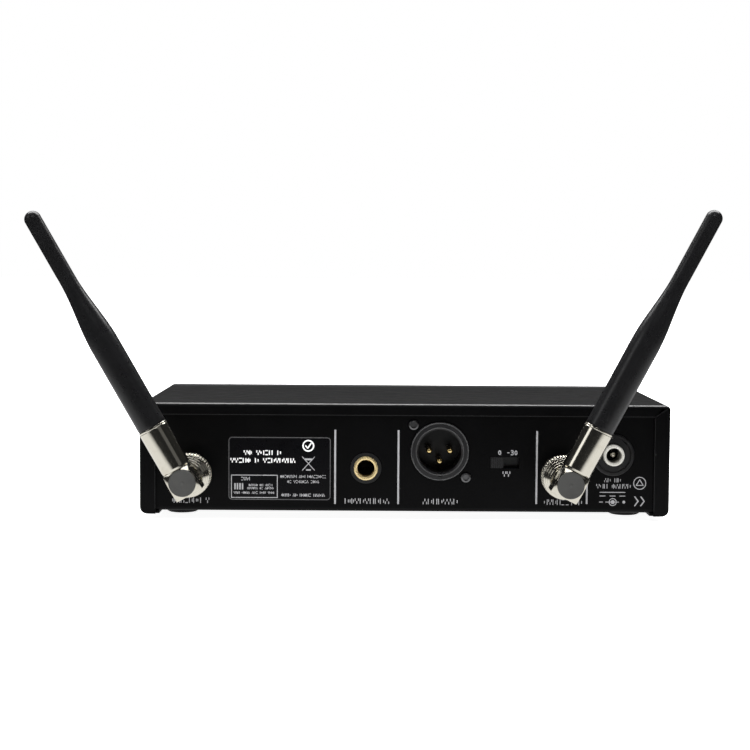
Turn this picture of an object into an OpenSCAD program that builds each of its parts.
// Half-rack wireless microphone receiver with two swivelling antennas.
// The connector panel faces -Y, the control fascia faces +Y, and the feet stand on Z = 0.
// Lengths are millimetres. The case has its own frame: X = 0 at its middle, Y = 0 at the rear
// face of the cover's flanges. in_case() moves that frame so that the origin lies under the
// middle of the whole receiver, antennas included.

/* [Case] */
// Width of the case
case_w = 200; // [196:1:212]
// Depth of the case, from the rear flanges to the fascia's front
case_d = 100; // [100:1:130]
// Height of the case above the surface that the feet stand on
case_h = 44; // [44:0.5:46]
// Height of the cover's lower edge above that surface
skirt_z = 2; // [2:0.1:2.4]
// Thickness of the sheet steel
sheet = 1.1; // [1:0.05:1.2]
// Height of the cover's flange above the rear panel
flange_top = 4.4; // [3.8:0.1:4.8]
// Width of the cover's flanges beside the rear panel
flange_side = 6; // [5:0.5:6.5]
// Depth of the moulded front fascia
fascia_d = 12; // [12:0.5:14]

/* [Antennas] */
// Lean of antenna A from upright, outwards
tilt_a = 27.75; // [10:0.25:45]
// Lean of antenna B from upright, outwards
tilt_b = 29.75; // [10:0.25:45]
// Length of an antenna from the axis of its connector to its tip
antenna_len = 111; // [106:1:130]
// Radius of the thick lower part of the rubber sheath
sheath_r = 5.35; // [4.8:0.05:5.4]
// Radius of the thin upper part and of the rounded tip
tip_r = 3.05; // [2.5:0.05:3.2]
// Radius of the metal sleeve under the sheath
sleeve_r = 5.5; // [5.5:0.05:5.8]
// Outer radius of the bayonet collar
collar_r = 8; // [7.4:0.1:8.4]

/* [Controls] */
// Radius of the volume knob
knob_r = 11; // [9:0.5:12]
// How far the volume knob stands out of the fascia
knob_h = 14; // [13:0.5:16]
// Number of grip flutes round the volume knob
knob_flutes = 24; // [16:2:30]
// Width of the display window
window_w = 56; // [44:1:58]
// Height of the display window
window_h = 22; // [18:1:24]

/* [Hidden] */
$fn = 48;

gap = 0.1;        // clearance between pieces that only lie beside each other
eps = 0.5;        // how far a cutter runs past the face that it cuts
weld_gap = 0.02;  // seam between two pressings that are spot-welded together
weld_in = 1.2;    // how far a seam lies inside the wall beside it
half_w = case_w / 2;
corner_top_r = 2; // bends along the cover's top edges
corner_low_r = 3; // bends along the cover's lower edges
fold_r = 1.5;     // bend between a wall and its rear flange
lip_x = 92.7 + (half_w - 100);      // inner edge of the lips under the tray

// Stations along Y
panel_y = sheet + 0.05;             // outer face of the rear panel
panel_in = panel_y + sheet;         // its inner face
cover_end = case_d - fascia_d;      // the cover meets the fascia here
front_y = case_d;                   // front face of the fascia
plate_t = 2.5;                      // thickness of the fascia's front plate
bulkhead_y = cover_end - sheet - 0.05;      // inner face of the tray's front wall
front_board_y = cover_end + gap;    // rear face of the front circuit board
front_header = [24, 3.2, 4.5];      // socket for the ribbon on the back of that board
front_header_z = 14.5;
board_t = 1.6;

// Levels along Z
floor_z = skirt_z + sheet + 0.05;   // underside of the tray's floor
floor_top = floor_z + sheet;
board_z = floor_top + 4.5;          // underside of the main circuit board
board_top = board_z + board_t;
front_z = (skirt_z + case_h) / 2;   // middle height of the fascia

// Connectors on the rear panel: [X, Z] of each centre
jack_a_at = [58.8, 17.9];
jack_b_at = [-80.2, 17.9];
xlr_at = [13.2, 26.2];
phone_at = [-14.65, 19.65];
dc_at = [78.55, 25.2];
pad_at = [37.8, 21.95];
label_at = [-66.5, 7.35];
label_size = [38.6, 23.9];

// Connector sizes
xlr_ring_r = 11;
xlr_mouth_r = 8.15;
xlr_screw_offset = 9.9;
xlr_depth = 13;                     // from the panel's face to the floor of the socket
xlr_proud = 1;                      // how far the ring stands out of the panel
phone_bore_r = 3.2;
phone_bush_r = 4.55;
dc_bush_r = 4;
dc_bore_r = 2.8;
pad_window = [10.8, 4.3];
pad_knob = [4.7, 4.1];

// Antenna connector stations, measured outwards from the flanges
lug_s = 9.2;                        // the jack's two bayonet lugs
jack_end_s = 11;                    // mouth of the jack
collar_s = 4.6;                     // mouth of the collar
collar_end_s = 18.6;
block_s = 21.2;                     // inner face of the elbow block
block = 10.4;                        // side of the elbow block
block_bevel = 1.3;                  // slope of the corners round the cap
cap_r = 4.85;
cap_s = block_s + block + 0.5;      // outermost face of an antenna connector
rod_s = block_s + block / 2;        // the plane that the sleeve and the sheath lie in
sleeve_end = 22.7;                  // sleeve's end, from the connector's axis
shoulder = 56;                      // where the sheath starts to narrow
waist = 84;                         // where it reaches the tip's radius

// Fascia layout: [X, Z]
power_at = [84, front_z];
window_at = [40, front_z];
key_at = [[-2, front_z - 4], [-20, front_z - 4]];
light_x = [4, -6, -16, -26];
light_z = front_z + 10;
knob_at = [-66, front_z];
key_size = [13, 6.5];
power_r = 5;
light_r = 1.5;
shaft_r = 3;
switch_y = front_board_y + board_t; // tact switches stand on the front board from here
key_foot_y = switch_y + 4.6;        // end of a key's stem, just clear of its switch

// Board layout: [X, Y] from the case's middle and its rear
post_at = [[-88, 22], [-88, bulkhead_y - 8], [0, 38], [-17, bulkhead_y - 8], [88, 22], [88, bulkhead_y - 8]];
can_at = [-50, 50];                 // X of the two screening cans
can_size = [58, 34, 8];
can_y = 58;
regulator_at = [34, 30];
foot_at = [[-86, 21.5], [86, 21.5], [-86, cover_end - 12], [86, cover_end - 12]];
foot_r = 6.25;
lip_screw_y = [12, cover_end - 12];
fascia_screw_at = [[-92, 30], [76, 32], [92, 14]];

// The case's place in the receiver's frame
reach_a = jack_a_at[0] + (antenna_len - tip_r) * sin(tilt_a) + tip_r;
reach_b = jack_b_at[0] - (antenna_len - tip_r) * sin(tilt_b) - tip_r;
case_x = -(reach_a + reach_b) / 2;
case_y = -(front_y + knob_h - cap_s) / 2;

// ---------------------------------------------------------------- helpers
module in_case() translate([case_x, case_y, 0]) children();

// Extrusions of a flat shape: (x, z) along Y, and (y, z) along X
module along_y(y0, y1) translate([0, y1, 0]) rotate([90, 0, 0]) linear_extrude(y1 - y0) children();
module along_x(x0, x1) translate([x0, 0, 0]) rotate([90, 0, 90]) linear_extrude(x1 - x0) children();

// Cylinder along Y between two stations
module barrel(r, y0, y1) translate([0, y1, 0]) rotate([90, 0, 0]) cylinder(r = r, h = y1 - y0);

// Hexagonal prism along Y, measured across its flats
module hex_barrel(flats, y0, y1)
    translate([0, y1, 0]) rotate([90, 0, 0]) cylinder(r = flats / sqrt(3), h = y1 - y0, $fn = 6);

// Solid of revolution about Y: points are [radius, station outwards]
module turned(points) rotate([90, 0, 0]) rotate_extrude() polygon(points);

// Places children at an [X, Z] on the rear panel or the fascia
module at(xz) translate([xz[0], 0, xz[1]]) children();

module rounded_rect(size, r) {
    x = size[0] / 2;
    y = size[1] / 2;
    square([size[0], size[1] - 2 * r], center = true);
    square([size[0] - 2 * r, size[1]], center = true);
    for (i = [-1, 1], j = [-1, 1]) translate([i * (x - r), j * (y - r)]) circle(r);
}

// A screw with a domed head, its seat at the origin and its shank along -Z
module pan_screw(head_r, head_h, shank_r, shank_l) {
    difference() {
        intersection() {
            cylinder(r = head_r, h = head_h);
            translate([0, 0, head_h - 2.2 * head_r]) sphere(2.2 * head_r);
        }
        for (a = [0, 90]) rotate(a)
            translate([-head_r * 0.55, -head_h * 0.18, head_h * 0.45]) cube([head_r * 1.1, head_h * 0.36, head_h]);
    }
    translate([0, 0, -shank_l]) cylinder(r = shank_r, h = shank_l + 0.2);
}

// Route through chosen points, rounded by Catmull-Rom curves
function curve_at(p, i, t) = let (
    a = p[max(i - 1, 0)], b = p[i], c = p[i + 1], d = p[min(i + 2, len(p) - 1)])
    0.5 * (2 * b + t * (c - a) + t * t * (2 * a - 5 * b + 4 * c - d) + t * t * t * (3 * b - a - 3 * c + d));
function route(p, steps) = [
    for (i = [0 : len(p) - 2], k = [0 : steps - 1]) curve_at(p, i, k / steps), p[len(p) - 1]];
function unit(v) = v / norm(v);
function heading(p, i) = unit(p[min(i + 1, len(p) - 1)] - p[max(i - 1, 0)]);

// Round tube swept along a route
module tube(path, r, sides = 8) {
    n = len(path);
    rings = [for (i = [0 : n - 1])
        let (d = heading(path, i), u = unit(cross(d, abs(d[2]) < 0.9 ? [0, 0, 1] : [1, 0, 0])), v = cross(d, u))
        for (k = [0 : sides - 1]) path[i] + r * (cos(360 * k / sides) * u + sin(360 * k / sides) * v)];
    walls = [for (i = [0 : n - 2], k = [0 : sides - 1])
        let (a = i * sides + k, b = i * sides + (k + 1) % sides)
        each [[a, a + sides, b], [b, a + sides, b + sides]]];
    ends = [[for (k = [0 : sides - 1]) k], [for (k = [sides - 1 : -1 : 0]) (n - 1) * sides + k]];
    polyhedron(rings, concat(walls, ends), convexity = 6);
}

// ---------------------------------------------------------------- case
// Outline of the case seen from behind, drawn in by inset on every side
module case_outline(inset = 0) {
    x = half_w - inset;
    low = skirt_z + inset;
    high = case_h - inset;
    rt = corner_top_r - inset;
    rb = corner_low_r - inset;
    translate([-x, low + rb]) square([2 * x, high - low - rb - rt]);
    translate([-x + rb, low]) square([2 * (x - rb), rb + 1]);
    translate([-x + rt, high - rt - 1]) square([2 * (x - rt), rt + 1]);
    for (i = [-1, 1]) {
        translate([i * (x - rt), high - rt]) circle(rt);
        translate([i * (x - rb), low + rb]) circle(rb);
    }
}

// Solid case whose rear edges along the top and the sides carry the bend radius
module cover_block(inset, y1) intersection() {
    r = fold_r - inset;
    along_y(inset, y1) case_outline(inset);
    along_x(-half_w, half_w) {
        translate([inset, 0]) square([y1, case_h - inset - r]);
        translate([inset + r, 0]) square([y1, case_h - inset]);
        translate([inset + r, case_h - inset - r]) circle(r);
    }
    linear_extrude(case_h) {
        x = half_w - inset;
        translate([-x + r, inset]) square([2 * (x - r), y1]);
        translate([-x, inset + r]) square([2 * x, y1]);
        for (i = [-1, 1]) translate([i * (x - r), inset + r]) circle(r);
    }
}

// Slot that parts the top flange from a side flange, along the mitre
module mitre_slot(side) {
    run = min(flange_top, flange_side) - sheet;
    translate([side * (half_w - flange_side), -eps, case_h - flange_top])
        rotate([0, side > 0 ? -45 : -135, 0]) translate([-1, 0, -0.55]) cube([run * sqrt(2) + 1, sheet + eps + 0.05, 1.1]);
}

module top_cover() in_case() color("#1b1b1c") difference() {
    cover_block(0, cover_end);
    cover_block(sheet, cover_end + eps);
    // window in the rear flanges, and the opening between the lips
    translate([-half_w + flange_side, -eps, -eps])
        cube([case_w - 2 * flange_side, sheet + 2 * eps, case_h - flange_top + eps]);
    translate([-lip_x, -eps, -eps]) cube([2 * lip_x, cover_end + 2 * eps, floor_z + eps]);
    for (s = [-1, 1]) mitre_slot(s);
    for (s = [-1, 1], y = lip_screw_y) translate([s * (half_w - 3.7), y, 0]) cylinder(r = 1.6, h = floor_z + 0.05);
}

// Floor, rear panel and front wall, folded from one sheet
module tray_section() {
    r = 1.6;
    top = case_h - sheet - 0.5;
    difference() {
        union() {
            translate([panel_y, floor_z + r]) square([bulkhead_y + sheet - panel_y, top - floor_z - r]);
            translate([panel_y + r, floor_z]) square([bulkhead_y + sheet - panel_y - 2 * r, r + 1]);
            for (y = [panel_y + r, bulkhead_y + sheet - r]) translate([y, floor_z + r]) circle(r);
        }
        translate([panel_in, floor_top]) square([bulkhead_y - panel_in, case_h]);
    }
}

module chassis_tray() in_case() color("#161617") difference() {
    intersection() {
        along_x(-half_w, half_w) tray_section();
        along_y(0, cover_end) case_outline(sheet + 0.05);
        translate([-half_w + sheet + 0.45, 0, 0]) cube([case_w - 2 * sheet - 0.9, cover_end, case_h]);
    }
    at(xlr_at) barrel(xlr_ring_r + gap, -eps, panel_in + eps);
    for (s = [-1, 1]) at(xlr_at + s * xlr_screw_offset * [-1, 1]) barrel(1.3, -eps, panel_in + eps);
    at(phone_at) barrel(5.9, -eps, panel_in + eps);
    at(dc_at) barrel(5.1, -eps, panel_in + eps);
    for (p = [jack_a_at, jack_b_at]) at(p) barrel(5.05, -eps, panel_in + eps);
    at(pad_at) along_y(-eps, panel_in + eps) square(pad_window, center = true);
    // window for the ribbon's socket, holes for the board posts and the lip screws
    translate([-13, bulkhead_y - eps, front_header_z - 1]) cube([26, sheet + 2 * eps, front_header[2] + 2]);
    for (p = post_at) translate([p[0], p[1], floor_z - eps]) cylinder(r = 1.5, h = sheet + 2 * eps);
    for (s = [-1, 1], y = lip_screw_y)
        translate([s * (half_w - 3.7), y, floor_z - eps]) cylinder(r = 1.6, h = sheet + 2 * eps);
    for (p = fascia_screw_at) at(p) barrel(1.6, bulkhead_y - eps, bulkhead_y + sheet + eps);
    // the rear panel, the floor and the front wall are three pressings, welded beside the bends
    for (y = [panel_in + weld_in, bulkhead_y - weld_in])
        translate([-half_w, y - weld_gap / 2, floor_z - eps]) cube([case_w, weld_gap, sheet + 2 * eps]);
}

module rubber_feet() in_case() color("#0e0e0e") for (p = foot_at) translate([p[0], p[1], 0])
    rotate_extrude() polygon([
        [0, 0], [foot_r - 0.9, 0], [foot_r - 0.25, 0.35], [foot_r, 1],
        [foot_r, floor_z - 0.02], [0, floor_z - 0.02]]);

module case_screws() in_case() color("#2a2a2a") {
    for (s = [-1, 1], y = lip_screw_y)
        translate([s * (half_w - 3.7), y, skirt_z - 0.02]) rotate([180, 0, 0]) pan_screw(2.6, 1.4, 1.5, 5);
    for (p = fascia_screw_at)
        at(p) translate([0, bulkhead_y - 0.02, 0]) rotate([90, 0, 0]) pan_screw(2.6, 1.6, 1.15, 7);
}

module rating_label() in_case() color("#0a0a0b")
    at(label_at + label_size / 2) along_y(panel_y - 0.15, panel_y - 0.01) rounded_rect(label_size, 1.2);

// ---------------------------------------------------------------- front
// Block with the fascia's outline, rounded round its front edge
module fascia_block(inset, y0) intersection() {
    r = 3 - inset / 2;
    y1 = front_y - inset;
    along_y(y0, y1) case_outline(inset);
    along_x(-half_w, half_w) {
        translate([0, skirt_z + inset + r]) square([y1, case_h - skirt_z - 2 * inset - 2 * r]);
        translate([0, skirt_z + inset]) square([y1 - r, case_h - skirt_z - 2 * inset]);
        for (z = [skirt_z + inset + r, case_h - inset - r]) translate([y1 - r, z]) circle(r);
    }
    linear_extrude(case_h) {
        x = half_w - inset;
        translate([-x, 0]) square([2 * x, y1 - r]);
        translate([-x + r, 0]) square([2 * (x - r), y1]);
        for (i = [-1, 1]) translate([i * (x - r), y1 - r]) circle(r);
    }
}

module front_fascia() in_case() color("#202023") {
    wall = 1.8;
    difference() {
        fascia_block(0, cover_end + 0.05);
        intersection() {
            fascia_block(wall, cover_end - eps);
            translate([-half_w, 0, 0]) cube([case_w, front_y - plate_t, case_h]);
        }
        // step round the display window, with its opening
        at(window_at) along_y(front_y - 1.2, front_y + eps) rounded_rect([window_w, window_h], 3);
        at(window_at) along_y(front_y - plate_t - eps, front_y)
            rounded_rect([window_w - 5, window_h - 5], 1.5);
        at(power_at) barrel(power_r + 0.2, front_y - plate_t - eps, front_y + eps);
        at(power_at) turned([[0, -front_y - eps], [power_r + 1.7, -front_y - eps],
            [power_r + 1.3, -front_y + 0.7], [0, -front_y + 0.7]]);
        for (k = key_at) at(k) along_y(front_y - plate_t - eps, front_y + eps)
            rounded_rect(key_size + [0.4, 0.4], 2.2);
        for (x = light_x) at([x, light_z]) barrel(light_r + 0.05, front_y - plate_t - eps, front_y + eps);
        at(knob_at) barrel(3.7, front_y - plate_t - eps, front_y + eps);
        // shallow dish behind the knob
        at(knob_at) barrel(knob_r + 2, front_y - 0.8, front_y + eps);
    }
    // screw bosses that reach back to the chassis wall
    for (p = fascia_screw_at) at(p) difference() {
        barrel(3.2, cover_end + 0.05, front_y - plate_t + 0.2);
        barrel(1.2, cover_end - eps, front_y - plate_t);
    }
}

module display_window() in_case() color([0.07, 0.08, 0.08, 0.5])
    at(window_at) along_y(front_y - 1.15, front_y - 0.1) rounded_rect([window_w - 0.3, window_h - 0.3], 2.85);

module display_module() in_case() color("#7f8f6c") at(window_at) {
    along_y(switch_y + 0.05, front_y - plate_t - 1.6) rounded_rect([window_w + 2, window_h + 2], 0.6);
    along_y(front_y - plate_t - 1.6, front_y - plate_t - 0.2) rounded_rect([window_w - 3, window_h - 3], 0.4);
}

module front_circuit_board() in_case() color("#1d4d2b") difference() {
    x = half_w - 4;
    translate([-x, front_board_y, skirt_z + 6]) cube([2 * x, board_t, case_h - skirt_z - 12]);
    for (p = fascia_screw_at) at(p) barrel(3.5, front_board_y - eps, switch_y + eps);
}

module key_switches() in_case() color("#26262a") for (p = concat([power_at], key_at)) at(p) {
    along_y(switch_y + 0.02, switch_y + 3) square([6, 6], center = true);
    barrel(1.7, switch_y + 3, switch_y + 3.8);
}

module indicator_light_pipes() in_case() color([0.85, 0.9, 0.85, 0.7]) for (x = light_x) at([x, light_z]) {
    barrel(light_r, front_y - plate_t - 0.1, front_y + 0.2);
    barrel(light_r + 0.5, switch_y + 0.1, front_y - plate_t - 0.1);
}

module volume_potentiometer() in_case() color("#8d9094") at(knob_at) difference() {
    union() {
        along_y(switch_y + 0.02, front_y - plate_t - 0.6) square([16, 14], center = true);
        barrel(3.5, front_y - plate_t - 0.6, front_y + 2.2);
    }
    barrel(shaft_r + 0.06, switch_y + 1.5, front_y + 3);
}

module volume_shaft() in_case() color("#c4c6c8") at(knob_at) difference() {
    barrel(shaft_r, switch_y + 1.6, front_y + knob_h - 3);
    translate([shaft_r - 1.2, front_y + 4.5, -5]) cube([3, knob_h, 10]);
}

module volume_knob() in_case() color("#1a1a1b") at(knob_at) difference() {
    top = front_y + knob_h;
    turned([[0, -front_y - 0.6], [knob_r, -front_y - 0.6], [knob_r, -top + 1.2], [knob_r - 1.2, -top], [0, -top]]);
    barrel(6.9, front_y, front_y + 3.6);
    difference() {
        barrel(shaft_r + 0.02, front_y, top - 2.9);
        translate([shaft_r - 1.17, front_y + 4.6, -5]) cube([3, knob_h, 10]);
    }
    for (i = [0 : knob_flutes - 1]) rotate([0, 360 * i / knob_flutes, 0])
        translate([knob_r + 0.35, 0, 0]) barrel(0.75, front_y + 2.5, top + eps);
    // pointer groove, upright at mid travel
    translate([-0.5, top - 0.6, knob_r * 0.35]) cube([1, 1, knob_r * 0.5]);
    translate([0, top + 13.4, 0]) sphere(14, $fn = 96);
}

module power_button() in_case() color("#39393c") at(power_at) {
    turned([[0, -front_y + plate_t + 0.4], [power_r, -front_y + plate_t + 0.4],
        [power_r, -front_y - 0.6], [power_r - 0.6, -front_y - 1.2], [0, -front_y - 1.2]]);
    barrel(1.6, key_foot_y + 0.4, front_y - 1);
}

module key(p) in_case() color("#39393c") at(p) {
    along_y(front_y - plate_t - 0.4, front_y + 0.8) rounded_rect(key_size, 2);
    along_y(front_y - plate_t - 1, front_y - plate_t - 0.3) rounded_rect(key_size + [1.6, 1.6], 2);
    barrel(1.6, key_foot_y, front_y - 1);
}
module channel_up_key() key(key_at[0]);
module channel_down_key() key(key_at[1]);

// ---------------------------------------------------------------- boards
module main_circuit_board() in_case() color("#1d4d2b") difference() {
    x = half_w - 5;
    translate([-x, panel_in + 5, board_z]) cube([2 * x, bulkhead_y - panel_in - 8, board_t]);
    for (p = post_at) translate([p[0], p[1], board_z - eps]) cylinder(r = 1.6, h = board_t + 2 * eps);
}

module board_standoffs() in_case() color("#b08d3c") for (p = post_at) translate([p[0], p[1], 0]) difference() {
    translate([0, 0, floor_top]) cylinder(r = 5.5 / sqrt(3), h = board_z - floor_top, $fn = 6);
    translate([0, 0, floor_top - eps]) cylinder(r = 1.5, h = 10);
}

module board_screws() in_case() color("#b9bbbd") for (p = post_at)
    translate([p[0], p[1], board_top + 0.01]) pan_screw(2.8, 1.8, 1.45, 5.6);

module rf_shield_cans() in_case() color("#b4b7b8") for (x = can_at)
    translate([x - can_size[0] / 2, can_y - can_size[1] / 2, board_top]) difference() {
        cube(can_size);
        translate([0.5, 0.5, -eps]) cube(can_size + [-1, -1, eps - 0.5]);
        for (i = [1 : 6], j = [1 : 3]) translate([i * can_size[0] / 7, j * can_size[1] / 4, can_size[2] - 1])
            cylinder(r = 1.2, h = 2);
    }

module integrated_circuits() in_case() color("#18181a") {
    for (c = [[-13, 48, 10], [12, 48, 12], [-12, 64, 8], [12, 66, 9]])
        translate([c[0] - c[2] / 2, c[1] - c[2] / 2, board_top]) cube([c[2], c[2], 1.4]);
    for (x = [-34, -50, -66], y = [22, 30]) translate([x, y, board_top]) cube([7, 4, 1.6]);
}

module electrolytic_capacitors() in_case() color("#23242c")
    for (c = [[66, 20, 4], [66, 31, 4], [74, 26, 3.15], [-14, 38, 3.15], [24, 36.5, 2.5]])
        translate([c[0], c[1], board_top]) {
            cylinder(r = c[2], h = 2.6 * c[2]);
            cylinder(r = c[2] + 0.3, h = 1.2);
        }

module voltage_regulator() in_case() color("#1a1a1a") translate([regulator_at[0], regulator_at[1], board_top]) {
    translate([-5, 0.02, 3.5]) cube([10, 4.4, 9]);
    translate([-5, 0.02, 12]) cube([10, 1.3, 6]);
    for (x = [-2.5, 0, 2.5]) translate([x - 0.4, 1.8, 0]) cube([0.8, 0.6, 4]);
}

module regulator_heatsink() in_case() color("#26272a")
    translate([regulator_at[0] - 9, regulator_at[1] - 9, board_top]) {
        translate([0, 7, 0]) cube([18, 2, 20]);
        for (i = [0 : 5]) translate([i * 3.28, 0, 2]) cube([1.6, 7.5, 18]);
    }

module board_headers() in_case() color("#e3ddc8") {
    translate([-12, bulkhead_y - 13, board_top]) cube([24, 5, 6]);
    for (c = [[10, 27], [80, 30]]) translate([c[0], c[1], board_top]) difference() {
        cube([8, 5, 6]);
        translate([1, 1, 3]) cube([6, 3, 4]);
    }
    translate([-front_header[0] / 2, front_board_y - front_header[1], front_header_z])
        cube(front_header - [0, 0.05, 0]);
}

// Flat cable from the main board's header through the front wall to the front board
module ribbon_cable() in_case() color("#8f9397") along_x(-10, 10) {
    z = board_top + 6.02;
    y = bulkhead_y - 11;
    end = front_board_y - front_header[1] - 0.02;
    translate([y, z - 0.02]) square([0.8, 4.4]);
    difference() {
        translate([y + 2.8, z + 4.38]) circle(2.8);
        translate([y + 2.8, z + 4.38]) circle(2);
        translate([y - 1, z + 4.38 - 4]) square([8, 4]);
    }
    translate([y + 4.8, z - 0.6]) square([0.8, 5]);
    translate([y + 4.8, z - 1.4]) square([end - y - 4.8, 0.8]);
}

// ---------------------------------------------------------------- leads
// Screened leads from the antenna jacks, output wires and supply wires
coax_r = 1.3;
wire_r = 0.55;
xlr_tail_y = panel_y + xlr_depth + 9;
coax_a = [[jack_a_at[0], 15.6, jack_a_at[1]], [jack_a_at[0], 22, 17.6], [54, 30, 17], [50, 37, 15.7], [50, 40.2, 15.5]];
coax_b = [[jack_b_at[0], 15.6, jack_b_at[1]], [jack_b_at[0], 22, 17.6], [-74, 30, 17], [-66, 37, 15.7],
    [-66, 40.2, 15.5]];
module internal_leads() in_case() color("#3a3a3c") {
    tube(route(coax_a, 4), coax_r);
    tube(route(coax_b, 4), coax_r);
    for (i = [-1, 0, 1])
        tube(route([[xlr_at[0] + 4 * i, xlr_tail_y, xlr_at[1] - (i == 0 ? 4 : 0)],
            [xlr_at[0] + 4 * i, 26.5, 23 - (i == 0 ? 2 : 0)],
            [14 + 1.7 * i, 29.5, 18], [14 + 1.7 * i, 29.5, board_top + 3.1]], 4), wire_r, 6);
    for (i = [-1, 1])
        tube(route([[dc_at[0] + 3.4 * i, 17.2, dc_at[1]], [dc_at[0] + 3.4 * i, 24, 24],
            [84 + 1.4 * i, 32, 20], [84 + 1.4 * i, 32.5, board_top + 3.1]], 4), wire_r, 6);
}

// ---------------------------------------------------------------- antenna jacks
module antenna_jack(p) in_case() color("#b9b6a8") at(p) difference() {
    union() {
        turned([[0, 0 - panel_in - 8], [6.2, -panel_in - 8], [6.2, -panel_in - 0.05], [4.8, -panel_in - 0.05],
            [4.8, jack_end_s - 0.5], [4.4, jack_end_s], [0, jack_end_s]]);
        turned([[0, -15], [3.2, -15], [3.2, -panel_in - 7], [0, -panel_in - 7]]);
        for (a = [-45, 135]) rotate([0, a, 0]) translate([0, -lug_s, 0]) cylinder(r = 1, h = 5.5);
    }
    barrel(4.15, -jack_end_s - eps, -1.5);
    barrel(1.8, -2, 15 + eps);
}
module antenna_jack_a() antenna_jack(jack_a_at);
module antenna_jack_b() antenna_jack(jack_b_at);

module panel_nuts() in_case() color("#b9b6a8") {
    for (p = [jack_a_at, jack_b_at]) at(p) difference() {
        hex_barrel(13, panel_y - 2.3, panel_y - 0.02);
        barrel(4.85, panel_y - 3, panel_y + 1);
    }
    at(knob_at) difference() {
        hex_barrel(11, front_y - 0.78, front_y + 1.4);
        barrel(3.55, front_y - 1, front_y + 2);
    }
}

module jack_insulators() in_case() color("#e9e7de") for (p = [jack_a_at, jack_b_at]) at(p) difference() {
    union() {
        barrel(2.3, -8.6, -1.52);
        barrel(1.75, -1.6, 14.8);
    }
    barrel(1.15, -9, 16);
}

module jack_contacts() in_case() color("#cfa94e") for (p = [jack_a_at, jack_b_at]) at(p) difference() {
    barrel(1.1, -8.4, 15.2);
    barrel(0.75, -9, -2);
}

// ---------------------------------------------------------------- outputs and supply
module xlr_shell() in_case() color("#1c1c1d") at(xlr_at) {
    lip = panel_y - xlr_proud;
    floor_y = panel_y + xlr_depth;
    difference() {
        union() {
            turned([[xlr_mouth_r, -lip - 2.6], [xlr_mouth_r, -lip - 0.9], [xlr_mouth_r + 1, -lip],
                [xlr_ring_r - 0.4, -lip], [xlr_ring_r, -lip - 0.4], [xlr_ring_r, -panel_in + 0.1],
                [xlr_ring_r, -floor_y - 3], [xlr_mouth_r + 0.2, -floor_y - 3], [xlr_mouth_r + 0.2, -lip - 2.6]]);
            // mounting ears behind the panel
            for (s = [-1, 1]) difference() {
                at(s * xlr_screw_offset * [-1, 1]) barrel(3.6, panel_in + 0.05, panel_in + 7);
                barrel(xlr_ring_r - 1, panel_in - 1, panel_in + 8);
            }
        }
        for (s = [-1, 1]) at(s * xlr_screw_offset * [-1, 1]) barrel(1.15, panel_in - 1, panel_in + 6);
        // keyway along the roof of the socket and the latch notch in its lower edge
        translate([-1.6, lip + 2.6, xlr_mouth_r - 0.6]) cube([3.2, 9, 1.7]);
        translate([-0.8, lip - eps, -xlr_mouth_r - 1.3]) cube([1.6, 2.4 + eps, 2.2]);
    }
}

module xlr_insert() in_case() color("#111112") at(xlr_at) difference() {
    barrel(xlr_mouth_r + 0.15, panel_y + xlr_depth, panel_y + xlr_depth + 6);
    for (a = [-90, 90, 180]) rotate([0, a, 0]) translate([0, 0, 4]) barrel(1.25, 0, 30);
}

module xlr_pins() in_case() color("#d9b25a") at(xlr_at) for (a = [-90, 90, 180])
    rotate([0, a, 0]) translate([0, 0, 4]) {
        barrel(1.2, panel_y + 2.2, panel_y + xlr_depth + 6.5);
        translate([0, panel_y + 2.2, 0]) sphere(1.2);
        barrel(0.6, panel_y + xlr_depth + 6, panel_y + xlr_depth + 8.5);
    }

module xlr_screws() in_case() color("#222224") for (s = [-1, 1]) at(xlr_at + s * xlr_screw_offset * [-1, 1])
    difference() {
        turned([[0, -panel_y + 0.02], [1.95, -panel_y + 0.02], [1.95, -panel_y + 0.6], [1.5, -panel_y + 1.2],
            [0, -panel_y + 1.2]]);
        hex_barrel(1.9, panel_y - 2, panel_y - 0.3);
    }

module phone_jack_body() in_case() color("#141415") at(phone_at) difference() {
    union() {
        barrel(5.8, panel_y - 0.4, panel_in + 1);
        along_y(panel_in + 0.05, panel_in + 29) square([13.6, 14.4], center = true);
    }
    barrel(phone_bush_r + 0.02, panel_y - 2, panel_in + 3);
    barrel(phone_bore_r + 0.3, panel_in + 2.9, panel_in + 27);
    // side pockets that hold the contact springs, open at the rear
    for (s = [-1, 1]) translate([s * 4.7 - 1.3, panel_in + 6, -2.5]) cube([2.6, 24, 5]);
}

module phone_jack_bushing() in_case() color("#c9a24a") at(phone_at)
    turned([[phone_bore_r, -panel_in - 2.95], [phone_bore_r, 0.1], [phone_bore_r + 0.35, 0.5],
        [phone_bush_r - 0.35, 0.5], [phone_bush_r, 0.1], [phone_bush_r, -panel_in - 2.95]]);

// Two bent contact strips, with their solder tails behind the body
module phone_jack_springs() in_case() color("#c8b06a") at(phone_at) for (s = [-1, 1])
    scale([s, 1, 1]) translate([0, panel_in, -1.8]) linear_extrude(3.6) polygon([
        [5.3, 33], [5.3, 22], [3.9, 12.5], [4.7, 7], [5.1, 7.1], [4.4, 12.5], [5.75, 21.8], [5.75, 33]]);

module dc_socket_bezel() in_case() color("#131314") at(dc_at)
    turned([[dc_bush_r + 0.25, -panel_y + 0.02], [dc_bush_r + 0.25, 0.1 - panel_y + 0.4], [6.3, -panel_y + 0.5],
        [6.7, -panel_y + 1.3], [7.5, -panel_y + 1.3], [7.9, -panel_y + 0.9], [7.9, -panel_y + 0.02]]);

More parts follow.
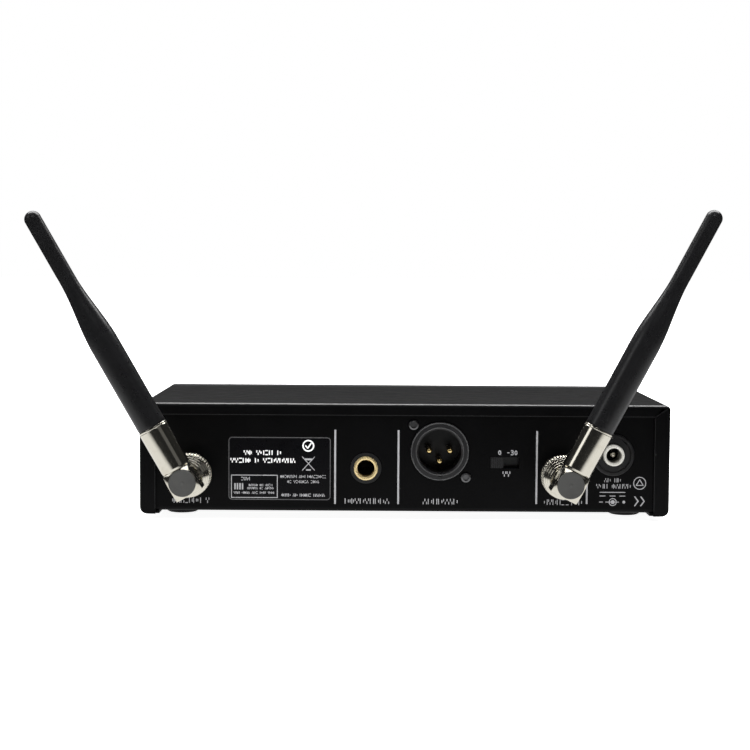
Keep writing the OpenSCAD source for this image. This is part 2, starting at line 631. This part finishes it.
module dc_socket_body() in_case() color("#141415") at(dc_at) difference() {
    union() {
        barrel(5, panel_y + 0.02, panel_in + 0.2);
        barrel(6.4, panel_in + 0.05, panel_in + 13);
    }
    barrel(dc_bush_r + 0.02, panel_y - 1, panel_in + 6);
    barrel(dc_bore_r + 0.1, panel_in + 5.9, panel_in + 11);
    barrel(1.05, panel_in + 10, panel_in + 14);
}

module dc_socket_bushing() in_case() color("#c7c8c6") at(dc_at)
    turned([[dc_bore_r, -panel_in - 5.9], [dc_bore_r, 1.3], [dc_bore_r + 0.3, 1.7],
        [dc_bush_r - 0.4, 1.7], [dc_bush_r, 1.3], [dc_bush_r, -panel_in - 5.9]]);

module dc_socket_pin() in_case() color("#c9cac8") at(dc_at) {
    barrel(1, panel_y + 0.6, panel_in + 13.6);
    translate([0, panel_y + 0.6, 0]) sphere(1);
}

module pad_switch_housing() in_case() color("#111112") at(pad_at) difference() {
    along_y(panel_in + 0.05, panel_in + 6.5) square(pad_window + [4, 3], center = true);
    along_y(panel_in - 1, panel_in + 3) square(pad_window + [0.2, 0.2], center = true);
}

module pad_switch_slider() in_case() color("#1d1d1f")
    at(pad_at - [(pad_window[0] - pad_knob[0]) / 2 - 0.1, 0]) {
        along_y(panel_y + 0.2, panel_in + 2.8) square(pad_knob, center = true);
        for (x = [-1.6, -0.8, 0, 0.8, 1.6]) translate([x - 0.15, panel_y - 0.15, -pad_knob[1] / 2])
            cube([0.3, 0.5, pad_knob[1]]);
    }

// ---------------------------------------------------------------- antennas
// Frame of an antenna: origin on its connector's axis, +Z along its sheath
module antenna(side) in_case() at(side == "a" ? jack_a_at : jack_b_at)
    rotate([0, side == "a" ? tilt_a : -tilt_b, 0]) children();
module on_rod() translate([0, -rod_s, 0]) children();

// Radius of the sheath at a distance from the connector's axis: an S-curve between its two parts
function sheath_radius(z) = let (t = min(max((z - shoulder) / (waist - shoulder), 0), 1))
    sheath_r + (tip_r - sheath_r) * (1 - cos(180 * t)) / 2;

module antenna_sheath() color("#1c1c1d") on_rod() difference() {
    union() {
        rotate_extrude() polygon(concat(
            [[0, sleeve_end], [sheath_r, sleeve_end], [sheath_r, shoulder]],
            [for (i = [1 : 15]) let (z = shoulder + i * (waist - shoulder) / 16) [sheath_radius(z), z]],
            [[tip_r, waist], [tip_r, antenna_len - tip_r], [0, antenna_len - tip_r]]));
        translate([0, 0, antenna_len - tip_r]) sphere(tip_r);
    }
    translate([0, 0, sleeve_end - eps]) cylinder(r = 3.6, h = 30 + eps);
    translate([0, 0, sleeve_end + 29]) cylinder(r = 1.1, h = antenna_len - sleeve_end - 29 - 5);
}

// Loading coil in the thick part and a whip through the thin part
coil_turns = 8;
coil_pitch = 2.8;
coil_r = 2.7;
module antenna_radiator() color("#b98a4a") on_rod() {
    tube([for (i = [0 : coil_turns * 12])
        [coil_r * cos(30 * i), coil_r * sin(30 * i), sleeve_end + 3.2 + coil_pitch * i / 12]], 0.5, 6);
    translate([0, 0, sleeve_end + 1.2]) cylinder(r = 0.9, h = antenna_len - sleeve_end - 9);
    translate([0, 0, sleeve_end + 1.2]) cylinder(r = 3.3, h = 1.5);
    translate([0, 0, sleeve_end + 3.6 + coil_pitch * coil_turns]) cylinder(r = 3.3, h = 1.5);
}

module antenna_sleeve() color("#bdb8a4") on_rod() difference() {
    rotate_extrude() polygon([
        [3.2, block / 2 + 0.02], [sleeve_r - 0.3, block / 2 + 0.02], [sleeve_r, block / 2 + 0.32],
        [sleeve_r, sleeve_end - 0.42], [sleeve_r - 0.4, sleeve_end - 0.02], [3.2, sleeve_end - 0.02]]);
}

module antenna_elbow() color("#c9c6b6") {
    difference() {
        union() {
            intersection() {
                translate([-block / 2, -block_s - block, -block / 2]) cube(block);
                // cone that bevels the corners round the cap
                turned([[0, block_s - 1], [block, block_s - 1], [block, block_s + block - block_bevel * 2],
                    [cap_r + 0.5, block_s + block], [0, block_s + block]]);
            }
            barrel(5.2, -block_s - 0.2, -19.2);
            barrel(4.6, -19.4, -14);
            barrel(5.4, -14.2, -13.1);
            barrel(3.95, -13.3, -5.6);
        }
        barrel(3.45, -13.8, -5);
        barrel(2.6, -block_s - block + 1, -13);
        barrel(cap_r + 0.02, -block_s - block - 1, -block_s - block + 0.8);
        on_rod() cylinder(r = 2.3, h = block);
    }
}

module antenna_cap() color("#4a4a48") barrel(cap_r, -cap_s, -block_s - block + 0.78);

// Centre conductor: a pin for the jack and a wire up to the radiator, in an insulating bead
module antenna_contact() color("#d2ab52") {
    barrel(0.65, -rod_s - 1, -4.4);
    barrel(2.5, -19, -15);
    on_rod() translate([0, 0, -0.3]) cylinder(r = 0.6, h = sleeve_end + 1.45);
}

// Stepped collar with the two bayonet channels inside
module antenna_collar() color("#c4c0ae") difference() {
    turned([
        [4.95, collar_s], [collar_r - 0.6, collar_s], [collar_r, collar_s + 0.6], [collar_r, 10.6],
        [collar_r - 0.5, 11.1], [collar_r - 0.5, 11.7], [collar_r - 0.2, 12], [collar_r - 0.2, 13],
        [collar_r - 0.9, 13.6], [collar_r - 0.9, 14.2], [collar_r - 0.7, 14.5], [collar_r - 0.7, 15.3],
        [collar_r - 1.5, 15.9], [collar_r - 1.5, 16.5], [collar_r - 1.4, 16.8], [collar_r - 1.4, 17.6],
        [collar_r - 2.2, collar_end_s], [4.75, collar_end_s],
        [4.75, 14.4], [5.6, 14.4], [5.6, 12.7], [4.95, 12.7],
        [4.95, 10.5], [5.75, 10.5], [5.75, 7.9], [4.95, 7.9]]);
    // entry channels, a quarter turn from the lugs, and the detent holes over them
    for (a = [45, 225]) rotate([0, a, 0])
        translate([-1.25, -8.2, 0]) cube([2.5, 8.2 - collar_s + eps, 5.75]);
    for (a = [-45, 135]) rotate([0, a, 0]) translate([0, -lug_s, 5]) cylinder(r = 1.35, h = 5);
}

module antenna_collar_at(side) in_case() at(side == "a" ? jack_a_at : jack_b_at) antenna_collar();

top_cover();
chassis_tray();
rubber_feet();
case_screws();
rating_label();
front_fascia();
display_window();
display_module();
front_circuit_board();
key_switches();
indicator_light_pipes();
volume_potentiometer();
main_circuit_board();
board_standoffs();
board_screws();
rf_shield_cans();
integrated_circuits();
electrolytic_capacitors();
voltage_regulator();
regulator_heatsink();
board_headers();
ribbon_cable();
internal_leads();
antenna_jack_a();
antenna_jack_b();
panel_nuts();
jack_insulators();
jack_contacts();
xlr_shell();
xlr_insert();
xlr_pins();
xlr_screws();
phone_jack_body();
phone_jack_bushing();
phone_jack_springs();
dc_socket_body();
dc_socket_bushing();
dc_socket_pin();
dc_socket_bezel();
pad_switch_housing();
antenna("a") antenna_sheath();  // antenna_a_sheath
antenna("a") antenna_radiator();  // antenna_a_radiator
antenna("a") antenna_sleeve();  // antenna_a_sleeve
antenna("a") antenna_elbow();  // antenna_a_elbow
antenna("a") antenna_cap();  // antenna_a_cap
antenna("a") antenna_contact();  // antenna_a_contact
antenna_collar_at("a");  // antenna_a_collar
antenna("b") antenna_sheath();  // antenna_b_sheath
antenna("b") antenna_radiator();  // antenna_b_radiator
antenna("b") antenna_sleeve();  // antenna_b_sleeve
antenna("b") antenna_elbow();  // antenna_b_elbow
antenna("b") antenna_cap();  // antenna_b_cap
antenna("b") antenna_contact();  // antenna_b_contact
antenna_collar_at("b");  // antenna_b_collar
power_button();
channel_up_key();
channel_down_key();
volume_knob();
volume_shaft();
pad_switch_slider();
